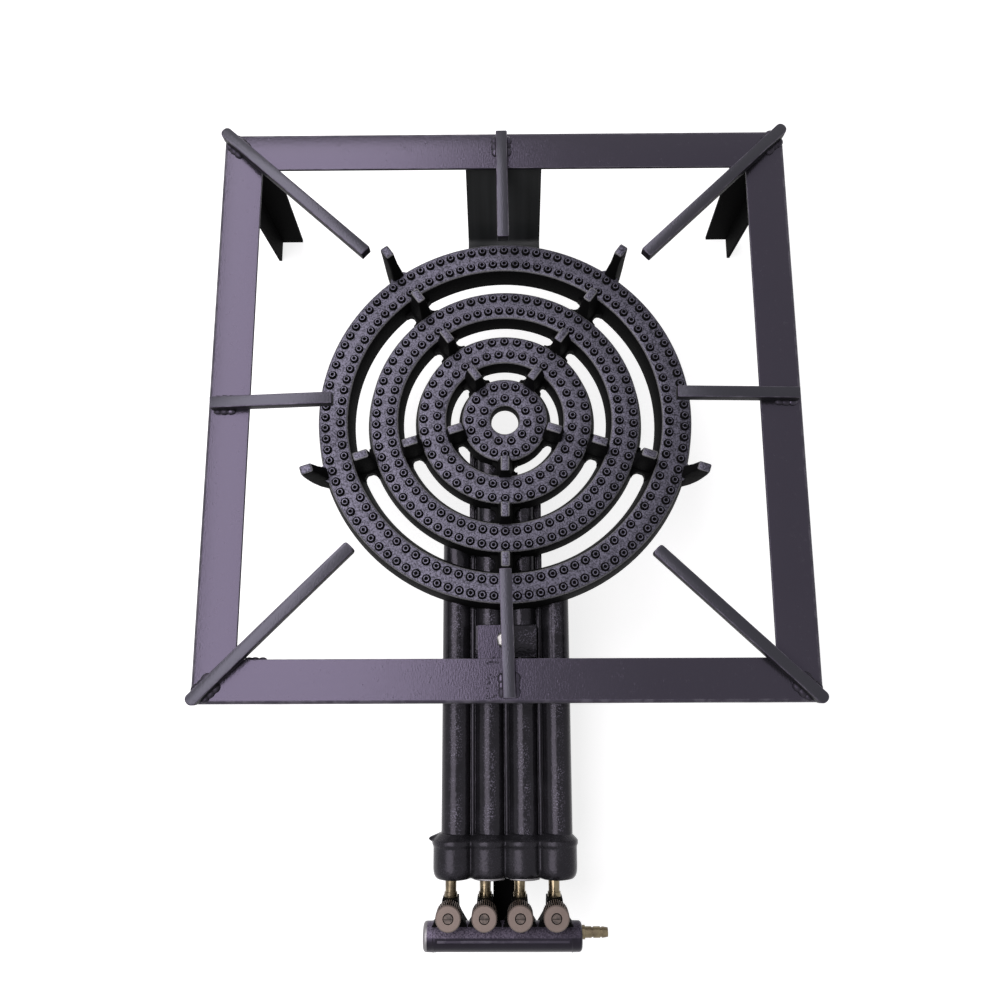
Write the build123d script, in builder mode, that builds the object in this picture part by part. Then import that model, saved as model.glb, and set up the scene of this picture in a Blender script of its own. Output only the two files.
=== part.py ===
"""Four-ring gas stove: a dished cast burner hung in an angle-iron stand, with a manifold of four taps.

Millimetres. The floor is z = 0, +Z is up, and the taps stand at the front, on the -Y side.
Pieces are drawn about the middle of the stand and moved when they are written, so that the
origin of the written pieces is the middle of the whole stove's footprint.
"""
import os
from collections import namedtuple
from math import cos, radians, sin, sqrt

from build123d import *

os.makedirs("parts", exist_ok=True)

Ring = namedtuple("Ring", "inner outer drop hole_flare rows")
Row = namedtuple("Row", "radius count start")

# Stand of mitred angle iron
frame_side = 500
frame_top = 190
angle_width = 35
angle_wall = 3
angle_corner_radius = 3
leg_top_width = 34
leg_foot_width = 25
leg_wall = 3
leg_bend_radius = 2.5

# Square pot bars welded on top of the stand
bar_size = 10
bar_edge = 0.8
bar_inner_radius = 144
bar_end_inset = 4
corner_bar_inner_radius = 177
corner_bar_inset = 1.5
corner_bar_nose_radius = 4.5

# How the welder set the bars: degrees off the line to the centre, and sideways slip of the outer end
bar_swings = {"front": 1.6, "right": -0.9, "back": 0.7, "left": 2.1}
bar_slips = {"front": 2.5, "right": 1.8, "back": 1.8, "left": 3.8}
corner_bar_swings = {"back_right": -1.4, "back_left": 2.9, "front_left": 0, "front_right": 1.6}

# Burner rings: radii at the deck, drop of each deck below the outer one, and rows of jets
front = -90
back = 90
burner_drop = 50
ring_depth = 24
wall_flare = 3.4
rings = (
    Ring(141.3, 167.0, 0.0, wall_flare, (Row(147.3, 90, front), Row(160.8, 100, front))),
    Ring(96.7, 121.5, 5.5, wall_flare, (Row(103.4, 65, front), Row(116.0, 70, front))),
    Ring(53.4, 78.2, 6.5, wall_flare, (Row(61.1, 35, front), Row(73.4, 40, front))),
    Ring(13.2, 38.3, 10.5, 1.0, (Row(20.5, 11, back), Row(32.1, 20, front))),
)
jet_base = 6.2
jet_height = 4
jet_draft = 12.5
channel_wall = 4.5
channel_floor = 3.5
channel_roof = 4

# Five spokes of lugs that bridge the rings, and a horn outside the ring on the four free spokes
spoke_angles = (270, 342, 54, 126, 198)
horn_angles = spoke_angles[1:]
lug_rises = (23.3, 17.2, 12.6)
lug_top_length = 13
lug_top_width = 7.5
lug_foot_width = 15
lug_bite = 2
horn_rise = 32.8
horn_width = 8
horn_top_reach = 6
horn_top_length = 10.5
horn_belly_reach = 13.5
horn_belly_rise = 24

# Mixing tubes, one to a ring, with their bells in front of the stand
tube_pitch = 29
tube_radius = 12.5
tube_bore_radius = 9
tube_axis_drop = 9.5
tube_end_wall = 4
tube_end_margin = 10
ring_of_tube = (1, 3, 2, 0)
web_thickness = 4
port_radius = 5
bell_reach = 147
bell_length = 29
bell_radius = 17.5
bell_mouth_radius = 13
bell_throat_length = 22
bell_rim_radius = 4
collar_length = 3.5
collar_proud = 1
collar_flare_length = 6

# Hangers that carry the burner from the back and front rails
plate_wall = 3
plate_bend_radius = 5
hanger_width = 68
hanger_tab = 24
hanger_tab_gap = 4
hanger_clearance = 12.5
hanger_foot_length = 36
bracket_left = -24.5
bracket_right = 6
bracket_leg_share = 0.33
bracket_tab_share = 0.48
bracket_tab_rise = 8
boss_radius = 9
front_pad_width = 54
front_pad_reach = 15
front_pad_gap = 2
rear_bolt_spread = 22
front_bolt_inset = 10

# Fasteners
bolt_radius = 4
bolt_clearance = 0.1
bolt_hole_clearance = 0.5
bolt_head_flats = 13
bolt_head_height = 5.5
bolt_depth = 12
bolt_end_gap = 1
washer_radius = 8
washer_thickness = 1.6
small_bolt_radius = 3
small_bolt_head_flats = 10
small_bolt_head_height = 4
small_bolt_depth = 5

# Gas manifold
manifold_gap = 22
manifold_radius = 12
manifold_wall = 2.5
manifold_end_reach = 13.5
cap_length = 9
cap_spigot = 4
cap_edge = 2.5
seat_clearance = 0.1
barb_set_back = 3
barb_radius = 4.5
barb_groove_radius = 3.9
barb_land = 5.5
barb_groove = 1.6
barb_tip_radius = 3.7
barb_tip_length = 5
barb_flange_radius = 5.6
barb_flange = 2.5
barb_stem_radius = 4
barb_bore_radius = 2.4
cradle_length = 16
cradle_bite = 3
manifold_bracket_width = 24
pad_length = 24
pad_width = 34
pad_drop = 2
small_bolt_pitch = 11

# Valves
tap_side_shift = -4
valve_gap = 22
valve_back_width = 13
valve_waist_width = 14
valve_side_gap = 1
valve_waist_reach = 1
valve_end_reach = 15
valve_saddle_depth = 10
valve_back_reach = 9
valve_bottom_drop = 10
valve_top_rise = 12
valve_neck_radius = 6
valve_neck_height = 5
inlet_radius = 4.5
inlet_reach = 1
passage_radius = 2
plug_reach = 6.5
plug_tip_radius = 3.2
plug_end_gap = 0.5
spindle_radius = 2.5
running_clearance = 0.05
packing_radius = 4
packing_height = 2.5
packing_depth = 4
gland_flats = 12
gland_height = 5
knob_radius = 10.5
knob_height = 20
knob_gap = 1
knob_chamfer = 0.9
knob_skirt = 6
knob_skirt_clearance = 1
knob_socket_depth = 9
screw_head_radius = 3.6
screw_head_height = 2
screw_shank_radius = 1.5
screw_length = 7
screw_end_gap = 0.5
screw_slot_width = 1
screw_slot_depth = 1
recess_radius = 4.4
recess_depth = 1.6

# Injectors
injector_radius = 4.6
injector_nose_radius = 4.8
injector_stem_radius = 3
injector_stem_length = 4
injector_collar_radius = 5.5
injector_collar_length = 4
injector_tip_depth = 11
injector_tip_length = 4
injector_tip_radius = 2.6
injector_bore_radius = 1.8
orifice_radius = 0.7

# Heights and places that follow from the sizes above
half_side = frame_side / 2
rail_underside = frame_top - angle_wall
corner_bar_outer_radius = half_side * sqrt(2) - corner_bar_inset
deck_height = frame_top - burner_drop
ring_floor = deck_height - ring_depth
lug_floor = ring_floor + channel_floor
tube_height = ring_floor - tube_axis_drop
tube_xs = tuple((k - 1.5) * tube_pitch for k in range(4))
bell_front = -half_side - bell_reach
bell_back = bell_front + bell_length
valve_y = bell_front - valve_gap
valve_back = valve_y + valve_back_reach
manifold_y = valve_y - manifold_gap
manifold_height = tube_height
tap_xs = tuple(x + tap_side_shift for x in tube_xs)
manifold_left = tap_xs[0] - manifold_end_reach
manifold_right = tap_xs[-1] + manifold_end_reach
manifold_bore_radius = manifold_radius - manifold_wall
barb_y = manifold_y + barb_set_back
rail_inside = half_side - angle_wall - hanger_tab_gap
hanger_foot_y = rings[0].outer + wall_flare + hanger_clearance
bracket_span = rail_inside - rings[0].outer - wall_flare
bracket_leg_y = -rail_inside + bracket_span * bracket_leg_share - plate_wall
bracket_tab_y = bracket_leg_y + bracket_span * bracket_tab_share
front_bolt_y = bracket_tab_y - front_bolt_inset
tab_underside = ring_floor + bracket_tab_rise
outer_ring_middle = (rings[0].inner + rings[0].outer) / 2
rear_bolt_y = sqrt(outer_ring_middle**2 - rear_bolt_spread**2)
rear_bolts = ((-rear_bolt_spread, rear_bolt_y), (rear_bolt_spread, rear_bolt_y))
bolt_hole_radius = bolt_radius + bolt_hole_clearance
tapped_radius = bolt_radius + bolt_clearance
pad_middle_y = bell_back - pad_length / 2
pad_underside = tube_height - bell_radius - pad_drop
pad_bolts = ((0, pad_middle_y - small_bolt_pitch / 2), (0, pad_middle_y + small_bolt_pitch / 2))
valve_bottom = manifold_height - valve_bottom_drop
valve_top = tube_height + valve_top_rise
neck_top = valve_top + valve_neck_height
packing_floor = neck_top - packing_depth
packing_top = packing_floor + packing_height
gland_top = neck_top + gland_height
knob_floor = gland_top + knob_gap
knob_bottom = knob_floor - knob_skirt
knob_top = knob_bottom + knob_height
knob_hollow_radius = gland_flats / sqrt(3) + knob_skirt_clearance
spindle_top = knob_floor + knob_socket_depth
screw_seat = knob_top - recess_depth
plug_bottom = tube_height - plug_reach
plug_top = packing_floor - running_clearance
spindle_bore_radius = spindle_radius + running_clearance
screw_bore_radius = screw_shank_radius + running_clearance
corner_bar_reach = corner_bar_outer_radius + bar_size / 2 - 2 * corner_bar_nose_radius
footprint_back = corner_bar_reach / sqrt(2) + corner_bar_nose_radius
footprint_front = manifold_y - manifold_radius
footprint_middle = (footprint_back + footprint_front) / 2


def save(builder, name):
    """Label a finished piece, move it to the middle of the footprint and write it."""
    placed = Pos(0, -footprint_middle, 0) * builder.part
    placed.label = name
    export_step(placed, f"parts/{name}.step")


def radial_plane(angle, height=0.0):
    """Level plane whose x axis points outwards at the angle."""
    return Plane((0, 0, height), x_dir=(cos(radians(angle)), sin(radians(angle)), 0), z_dir=(0, 0, 1))


def upright_plane(angle):
    """Upright plane through the centre line: x outwards at the angle, y up."""
    outwards = (cos(radians(angle)), sin(radians(angle)), 0)
    return Plane((0, 0, 0), x_dir=outwards, z_dir=(outwards[1], -outwards[0], 0))


def post(points, radius, bottom, top, mode=Mode.ADD):
    """Upright round posts or holes at points in plan."""
    with BuildSketch(Plane.XY.offset(bottom)) as section:
        with Locations(*points):
            Circle(radius)
    extrude(section.sketch, amount=top - bottom, mode=mode)


def cross_post(x, height, radius, start, stop, mode=Mode.ADD):
    """Round post or hole along Y between two places."""
    with BuildSketch(Plane.XZ.offset(-stop)) as section:
        with Locations((x, height)):
            Circle(radius)
    extrude(section.sketch, amount=stop - start, mode=mode)


def block(middle, size, bottom, top, mode=Mode.ADD):
    """Upright rectangular block on a middle point in plan."""
    with BuildSketch(Plane.XY.offset(bottom)) as section:
        with Locations(middle):
            Rectangle(*size)
    extrude(section.sketch, amount=top - bottom, mode=mode)


def turned(profile, plane, axis, mode=Mode.ADD):
    """Solid of revolution from a closed run of points on a plane."""
    with BuildSketch(plane) as section:
        with BuildLine():
            Polyline(*profile, close=True)
        make_face()
    revolve(section.sketch, axis=axis, mode=mode)


def make_rail(name, angle):
    """One side of the stand: angle iron with its skirt outside, mitred at both ends."""
    inner = half_side - angle_width
    skirt = half_side - angle_wall
    skirt_bottom = frame_top - angle_width
    with BuildPart() as rail:
        with BuildSketch(upright_plane(angle)) as section:
            with BuildLine():
                Polyline(
                    (inner, frame_top),
                    (half_side, frame_top),
                    (half_side, skirt_bottom),
                    (skirt, skirt_bottom),
                    (skirt, rail_underside),
                    (inner, rail_underside),
                    close=True,
                )
            make_face()
            outer_corner = section.vertices().sort_by(lambda vertex: vertex.X + vertex.Y)[-1]
            fillet(outer_corner, angle_corner_radius)
        extrude(amount=half_side, both=True)
        with BuildSketch(radial_plane(angle)):
            with BuildLine():
                Polyline((0, 0), (half_side, half_side), (half_side, -half_side), close=True)
            make_face()
        extrude(amount=frame_top, mode=Mode.INTERSECT)
    save(rail, name)


def make_leg(name, turn):
    """A tapered leg folded from plate, nested in a corner of the stand."""
    corner = half_side - angle_wall
    level = radial_plane(turn)
    first = Plane(level.from_local_coords((0, corner, 0)), x_dir=level.x_dir, z_dir=-level.y_dir)
    second = Plane(level.from_local_coords((corner, 0, 0)), x_dir=level.y_dir, z_dir=level.x_dir)
    with BuildPart() as leg:
        for wall_plane, inwards in ((first, leg_wall), (second, -leg_wall)):
            with BuildSketch(wall_plane):
                with BuildLine():
                    Polyline(
                        (corner, 0),
                        (corner - leg_foot_width, 0),
                        (corner - leg_top_width, rail_underside),
                        (corner, rail_underside),
                        close=True,
                    )
                make_face()
            extrude(amount=inwards)
        bend = leg.edges().filter_by(Axis.Z).sort_by(lambda edge: edge.center().length)[-1]
        fillet(bend, leg_bend_radius)
    save(leg, name)


def make_bar(name, angle, inner, outer, swing, slip=0, nose_radius=0):
    """A square pot bar on the stand. It points at the burner's centre but for a small swing about its outer end."""
    pivot = outer - bar_size / 2
    level = Plane(radial_plane(angle, frame_top) * Location((pivot, slip, 0), (0, 0, swing)))
    with BuildPart() as bar:
        with BuildSketch(level) as outline:
            with Locations(((inner + outer) / 2 - pivot, 0)):
                Rectangle(outer - inner, bar_size)
            if nose_radius:
                fillet(outline.vertices().sort_by(Axis.X)[-2:], nose_radius)
        extrude(amount=bar_size)
        chamfer(bar.edges().filter_by(Axis((0, 0, 0), level.x_dir)), bar_edge)
    save(bar, name)


def make_strip(name, route, side, left, right, holes):
    """A strip of plate bent along a route in the YZ plane, with upright bolt holes at its low end."""
    with BuildPart() as strip:
        with BuildSketch(Plane.YZ.offset(left)):
            with BuildLine():
                bent = FilletPolyline(*route, radius=plate_bend_radius)
                offset(bent, amount=plate_wall, side=side)
            make_face()
        extrude(amount=right - left)
        post(holes, bolt_hole_radius, 0, rail_underside - 2 * plate_wall, Mode.SUBTRACT)
    save(strip, name)


def deck_of(ring):
    """Height of a ring's deck."""
    return deck_height - ring.drop


def make_ring_body(ring, mode=Mode.ADD):
    """The flared outside of one ring."""
    profile = (
        (ring.inner, deck_of(ring)),
        (ring.outer, deck_of(ring)),
        (ring.outer + wall_flare, ring_floor),
        (ring.inner - ring.hole_flare, ring_floor),
    )
    turned(profile, Plane.XZ, Axis.Z, mode)


def make_lug(angle, outside, inside, rise):
    """A tapered lug that bridges the gap between two rings and stands above their decks."""
    middle = (outside.inner + inside.outer) / 2
    foot_length = outside.inner - inside.outer + 2 * lug_bite
    with BuildSketch(radial_plane(angle, lug_floor)) as foot:
        with Locations((middle, 0)):
            Rectangle(foot_length, lug_foot_width)
    with BuildSketch(radial_plane(angle, deck_height + rise)) as top:
        with Locations((middle, 0)):
            Rectangle(lug_top_length, lug_top_width)
    loft([foot.sketch, top.sketch])


def make_horn(angle, ring):
    """A pot horn that grows out of a ring's wall and curves upwards."""
    top = deck_height + horn_rise
    tip = ring.outer + horn_top_reach + horn_top_length
    root = (ring.outer - lug_bite, ring_floor)
    belly = (ring.outer + horn_belly_reach, ring_floor + horn_belly_rise)
    foot = (ring.outer + wall_flare, ring_floor)
    with BuildSketch(upright_plane(angle)) as outline:
        with BuildLine():
            Polyline(
                foot,
                root,
                (ring.outer - lug_bite, deck_height),
                (ring.outer + horn_top_reach, top),
                (tip, top),
            )
            ThreePointArc((tip, top), belly, foot)
        make_face()
    extrude(outline.sketch, amount=horn_width / 2, both=True)


def make_jets(ring):
    """Rows of raised jets on a ring's deck, square so that so many stay light."""
    for row in ring.rows:
        with BuildSketch(Plane.XY.offset(deck_of(ring))) as bases:
            with PolarLocations(row.radius, row.count, start_angle=row.start):
                Rectangle(jet_base, jet_base)
        extrude(bases.sketch, amount=jet_height, taper=jet_draft)


def cut_channel(ring):
    """The hollow of a ring, which shares the gas out to its jets."""
    floor = ring_floor + channel_floor
    roof = deck_of(ring) - channel_roof
    inner = ring.inner + channel_wall
    outer = ring.outer - channel_wall
    profile = ((inner, floor), (outer, floor), (outer, roof), (inner, roof))
    turned(profile, Plane.XZ, Axis.Z, Mode.SUBTRACT)


def port_place(tube):
    """Where a mixing tube opens upwards into the ring that it feeds."""
    ring = rings[ring_of_tube[tube]]
    middle = (ring.inner + ring.outer) / 2
    return tube_xs[tube], -sqrt(middle**2 - tube_xs[tube] ** 2)


def cut_port(tube):
    """Round port between a tube's bore and the channel of its ring."""
    post([port_place(tube)], port_radius, tube_height, ring_floor + channel_floor, Mode.SUBTRACT)


def tube_end(tube):
    """Closed far end of a mixing tube, just past its port."""
    return port_place(tube)[1] + tube_end_margin


def tube_axis(tube):
    """Centre line of a mixing tube."""
    return Axis((tube_xs[tube], 0, tube_height), (0, 1, 0))


def make_tube_body(tube):
    """Outside of a mixing tube with its collar and round-lipped bell."""
    x = tube_xs[tube]
    collar = x + bell_radius + collar_proud
    lip = (x + bell_radius - bell_rim_radius, bell_front)
    rim = (x + bell_radius, bell_front + bell_rim_radius)
    shave = bell_rim_radius * (1 - sqrt(0.5))
    with BuildSketch(Plane.XY.offset(tube_height)) as section:
        with BuildLine():
            Polyline(
                lip,
                (x, bell_front),
                (x, tube_end(tube)),
                (x + tube_radius, tube_end(tube)),
                (x + tube_radius, bell_back + collar_length + collar_flare_length),
                (collar, bell_back + collar_length),
                (collar, bell_back),
                (x + bell_radius, bell_back - collar_proud),
                rim,
            )
            ThreePointArc(rim, (x + bell_radius - shave, bell_front + shave), lip)
        make_face()
    revolve(section.sketch, axis=tube_axis(tube))


def cut_tube_bore(tube):
    """Mouth, throat and bore of a mixing tube."""
    x = tube_xs[tube]
    bore_end = tube_end(tube) - tube_end_wall
    profile = (
        (x, bell_front),
        (x + bell_mouth_radius, bell_front),
        (x + tube_bore_radius, bell_front + bell_throat_length),
        (x + tube_bore_radius, bore_end),
        (x, bore_end),
    )
    turned(profile, Plane.XY.offset(tube_height), tube_axis(tube), Mode.SUBTRACT)


def tube_outside(tube):
    """A mixing tube without its bore, its webs and bell ending halfway to each neighbour."""
    left = tube_xs[tube] - tube_pitch / 2
    right = tube_xs[tube] + tube_pitch / 2
    slab_left = left if tube > 0 else left - bell_radius
    slab_right = right if tube < 3 else right + bell_radius
    web_left = left if tube > 0 else tube_xs[tube]
    web_right = right if tube < 3 else tube_xs[tube]
    web_bottom = tube_height - web_thickness / 2
    web_middle = ((web_left + web_right) / 2, (bell_back + tube_end(tube)) / 2)
    web_size = (web_right - web_left, tube_end(tube) - bell_back)
    slab_middle = ((slab_left + slab_right) / 2, (bell_front + tube_end(tube)) / 2)
    slab_size = (slab_right - slab_left, tube_end(tube) - bell_front)
    with BuildPart() as outside:
        make_tube_body(tube)
        block(web_middle, web_size, web_bottom, web_bottom + web_thickness)
        block(slab_middle, slab_size, 0, frame_top, Mode.INTERSECT)
    return outside.part


def cut_pad_holes():
    """Cut the holes for the front bolt and the manifold's bolts."""
    pad_hole_top = pad_underside + small_bolt_depth
    post([(0, front_bolt_y)], tapped_radius, tab_underside - bolt_depth, tab_underside, Mode.SUBTRACT)
    post(pad_bolts, small_bolt_radius + bolt_clearance, pad_underside, pad_hole_top, Mode.SUBTRACT)


def make_mixing_tube(name, tube, start, stop):
    """A length of mixing tube, with its port if it reaches the ring."""
    outside = tube_outside(tube)
    with BuildPart() as body:
        add(outside)
        for ring in rings:
            make_ring_body(ring, Mode.SUBTRACT)
        cut_tube_bore(tube)
        cut_port(tube)
        cut_pad_holes()
        block((0, (start + stop) / 2), (frame_side, stop - start), 0, frame_top, Mode.INTERSECT)
    save(body, name)


def make_ring(name, number):
    """One ring of the burner with its jets, and the lugs that reach in to the next ring."""
    ring = rings[number]
    tube = ring_of_tube.index(number)
    outermost = number == 0
    with BuildPart() as body:
        make_ring_body(ring)
        if number + 1 < len(rings):
            for angle in spoke_angles:
                make_lug(angle, ring, rings[number + 1], lug_rises[number])
            make_ring_body(rings[number + 1], Mode.SUBTRACT)
        if outermost:
            for angle in horn_angles:
                make_horn(angle, ring)
        make_jets(ring)
        cut_channel(ring)
        cut_port(tube)
        if outermost:
            post(rear_bolts, boss_radius, ring_floor, deck_height - channel_roof)
            post(rear_bolts, tapped_radius, ring_floor, ring_floor + bolt_depth, Mode.SUBTRACT)
    save(body, name)


def make_cap(name, end, outwards, hole_radius):
    """A plug for one end of the manifold, with a hole through it where gas comes in."""
    spigot_radius = manifold_bore_radius - seat_clearance
    spigot_end = end - outwards * cap_spigot
    face = end + outwards * cap_length
    profile = (
        (spigot_end, manifold_y),
        (spigot_end, manifold_y + spigot_radius),
        (end, manifold_y + spigot_radius),
        (end, manifold_y + manifold_radius),
        (face - outwards * cap_edge, manifold_y + manifold_radius),
        (face, manifold_y + manifold_radius - cap_edge),
        (face, manifold_y),
    )
    with BuildPart() as cap:
        turned(profile, Plane.XY.offset(manifold_height), Axis((0, manifold_y, manifold_height), (1, 0, 0)))
        if hole_radius:
            with BuildSketch(Plane.YZ.offset(spigot_end)):
                with Locations((barb_y, manifold_height)):
                    Circle(hole_radius)
            extrude(amount=cap_length + cap_spigot, mode=Mode.SUBTRACT)
    save(cap, name)


def make_valve_body(name, x):
    """A tap's block saddled on the manifold, with its passage, tapered seat and neck."""
    saddle_front = manifold_y + valve_saddle_depth
    waist_y = valve_y - valve_waist_reach
    half_pitch = (tube_pitch - valve_side_gap) / 2
    left_reach = valve_end_reach if x == tap_xs[0] else half_pitch
    right_reach = valve_end_reach if x == tap_xs[-1] else half_pitch
    inlet_front = manifold_y + manifold_bore_radius - inlet_reach
    seat_tip_radius = plug_tip_radius + running_clearance
    seat = (
        (x, plug_bottom - plug_end_gap),
        (x + seat_tip_radius, plug_bottom - plug_end_gap),
        (x + seat_tip_radius, plug_bottom),
        (x + packing_radius + running_clearance, plug_top),
        (x, plug_top),
    )
    stem_hole_radius = injector_stem_radius + seat_clearance
    middle = [(x, valve_y)]
    with BuildPart() as body:
        with BuildSketch(Plane.XY.offset(valve_bottom)):
            with BuildLine():
                Polyline(
                    (x - left_reach, saddle_front),
                    (x + right_reach, saddle_front),
                    (x + valve_waist_width / 2, waist_y),
                    (x + valve_back_width / 2, valve_back),
                    (x - valve_back_width / 2, valve_back),
                    (x - valve_waist_width / 2, waist_y),
                    close=True,
                )
            make_face()
        extrude(amount=valve_top - valve_bottom)
        post(middle, valve_neck_radius, valve_top, neck_top)
        with BuildSketch(Plane.YZ.offset(x)):
            with Locations((manifold_y, manifold_height)):
                Circle(manifold_radius + seat_clearance)
        extrude(amount=valve_end_reach, both=True, mode=Mode.SUBTRACT)
        cross_post(x, tube_height, inlet_radius, inlet_front, valve_y - packing_radius)
        cross_post(x, tube_height, passage_radius, inlet_front, valve_back, Mode.SUBTRACT)
        turned(seat, Plane.XZ.offset(-valve_y), Axis((x, valve_y, 0), (0, 0, 1)), Mode.SUBTRACT)
        post(middle, packing_radius + seat_clearance, plug_top, neck_top, Mode.SUBTRACT)
        cross_post(x, tube_height, stem_hole_radius, valve_back - injector_stem_length, valve_back, Mode.SUBTRACT)
    save(body, name)


def make_injector(name, x):
    """A brass injector screwed into a valve, blowing into its bell."""
    stem_end = valve_back - injector_stem_length
    shoulder = valve_back + injector_collar_length
    tip = bell_front + injector_tip_depth
    axis = Axis((x, 0, tube_height), (0, 1, 0))
    level = Plane.XY.offset(tube_height)
    outside = (
        (x, stem_end),
        (x + injector_stem_radius, stem_end),
        (x + injector_stem_radius, valve_back),
        (x + injector_collar_radius, valve_back),
        (x + injector_collar_radius, shoulder),
        (x + injector_radius, shoulder),
        (x + injector_nose_radius, tip - injector_tip_length),
        (x + injector_tip_radius, tip),
        (x, tip),
    )
    bore = (
        (x, stem_end),
        (x + injector_bore_radius, stem_end),
        (x + injector_bore_radius, tip - injector_tip_length),
        (x + orifice_radius, tip - injector_tip_length / 2),
        (x + orifice_radius, tip),
        (x, tip),
    )
    with BuildPart() as injector:
        turned(outside, level, axis)
        turned(bore, level, axis, Mode.SUBTRACT)
    save(injector, name)


def make_gland_nut(x):
    """A hexagon nut on a tap's neck, whose nose presses on the packing."""
    with BuildSketch(Plane.XY.offset(neck_top)) as hexagon:
        with Locations((x, valve_y)):
            RegularPolygon(gland_flats / 2, 6, major_radius=False)
    extrude(hexagon.sketch, amount=gland_height)
    post([(x, valve_y)], packing_radius, packing_top, neck_top)


def make_spindle(name, x):
    """A tap's spindle: a tapered plug drilled across, shut as drawn, and a screw hole in its top."""
    profile = (
        (x, plug_bottom),
        (x + plug_tip_radius, plug_bottom),
        (x + packing_radius, plug_top),
        (x + spindle_radius, plug_top),
        (x + spindle_radius, spindle_top),
        (x, spindle_top),
    )
    hole_bottom = screw_seat - screw_length - screw_end_gap
    with BuildPart() as spindle:
        turned(profile, Plane.XZ.offset(-valve_y), Axis((x, valve_y, 0), (0, 0, 1)))
        with BuildSketch(Plane.YZ.offset(x)):
            with Locations((valve_y, tube_height)):
                Circle(passage_radius)
        extrude(amount=packing_radius, both=True, mode=Mode.SUBTRACT)
        post([(x, valve_y)], screw_bore_radius, hole_bottom, spindle_top, Mode.SUBTRACT)
    save(spindle, name)


def make_knob(name, x):
    """A round knob on a spindle: its skirt hangs round the gland nut, and its top has a recess for its screw."""
    profile = (
        (x, knob_bottom),
        (x + knob_radius - knob_chamfer, knob_bottom),
        (x + knob_radius, knob_bottom + knob_chamfer),
        (x + knob_radius, knob_top - knob_chamfer),
        (x + knob_radius - knob_chamfer, knob_top),
        (x, knob_top),
    )
    middle = [(x, valve_y)]
    with BuildPart() as knob:
        turned(profile, Plane.XZ.offset(-valve_y), Axis((x, valve_y, 0), (0, 0, 1)))
        post(middle, knob_hollow_radius, knob_bottom, knob_floor, Mode.SUBTRACT)
        post(middle, spindle_bore_radius, knob_floor, spindle_top, Mode.SUBTRACT)
        post(middle, screw_bore_radius, spindle_top, screw_seat, Mode.SUBTRACT)
        post(middle, recess_radius, screw_seat, knob_top, Mode.SUBTRACT)
    save(knob, name)


def make_knob_screw(name, x):
    """A slotted screw that holds a knob down on its spindle."""
    head_top = screw_seat + screw_head_height
    with BuildPart() as screw:
        post([(x, valve_y)], screw_shank_radius, screw_seat - screw_length, screw_seat)
        post([(x, valve_y)], screw_head_radius, screw_seat, head_top)
        with BuildSketch(Plane.XY.offset(head_top - screw_slot_depth)):
            with Locations((x, valve_y)):
                Rectangle(2 * screw_head_radius, screw_slot_width)
        extrude(amount=screw_slot_depth, mode=Mode.SUBTRACT)
    save(screw, name)


def make_bolt(point, seat, up, flats, height, radius, length):
    """A hexagon bolt whose head lies against a level seat, its shank going up or down."""
    with BuildSketch(Plane.XY.offset(seat)) as head:
        with Locations(point):
            RegularPolygon(flats / 2, 6, major_radius=False)
    extrude(head.sketch, amount=-up * height)
    post([point], radius, seat, seat + up * length)


# Stand
for name, angle in (("front", -90), ("right", 0), ("back", 90), ("left", 180)):
    make_rail(f"rail_{name}", angle)
    bar_outer_radius = half_side - bar_end_inset
    make_bar(f"pot_bar_{name}", angle, bar_inner_radius, bar_outer_radius, bar_swings[name], bar_slips[name])
for name, turn in (("back_right", 0), ("back_left", 90), ("front_left", 180), ("front_right", 270)):
    make_leg(f"leg_{name}", turn)
    corner_bar = (corner_bar_inner_radius, corner_bar_outer_radius, corner_bar_swings[name])
    make_bar(f"pot_bar_{name}", turn + 45, *corner_bar, nose_radius=corner_bar_nose_radius)

# Burner, cast in one but parted here between its rings and tubes, and where the long tubes pass the front rail
for number, name in enumerate(("outer", "second", "third", "centre")):
    make_ring(f"ring_{name}", number)
tube_split = -half_side + angle_width
make_mixing_tube("mixing_tube_4", 3, bell_front, tube_end(3))
for tube in (0, 1, 2):
    make_mixing_tube(f"mixing_tube_{tube + 1}", tube, bell_front, tube_split)
    make_mixing_tube(f"mixing_tube_{tube + 1}_rear", tube, tube_split, tube_end(tube))
middle_tubes = [tube_outside(1), tube_outside(2)]
front_pad_start = front_bolt_y - front_pad_reach
front_pad_end = -rings[0].outer - wall_flare - front_pad_gap
front_pad_size = (front_pad_width, front_pad_end - front_pad_start)
with BuildPart() as casting_pads:
    block((0, (front_pad_start + front_pad_end) / 2), front_pad_size, tube_height + tube_bore_radius, tab_underside)
    block((0, pad_middle_y), (pad_width, pad_length), pad_underside, tube_height - tube_bore_radius)
    for outside in middle_tubes:
        add(outside, mode=Mode.SUBTRACT)
    cut_pad_holes()
save(casting_pads, "casting_pads")

# Hangers
hanger_route = (
    (rail_inside, rail_underside),
    (rail_inside - hanger_tab, rail_underside),
    (hanger_foot_y, ring_floor),
    (hanger_foot_y - hanger_foot_length, ring_floor),
)
make_strip("rear_hanger", hanger_route, Side.LEFT, -hanger_width / 2, hanger_width / 2, rear_bolts)
bracket_route = (
    (bracket_tab_y, tab_underside),
    (bracket_leg_y, tab_underside),
    (bracket_leg_y, rail_underside - plate_wall),
    (-rail_inside, rail_underside - plate_wall),
)
make_strip("front_bracket", bracket_route, Side.RIGHT, bracket_left, bracket_right, [(0, front_bolt_y)])

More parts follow.
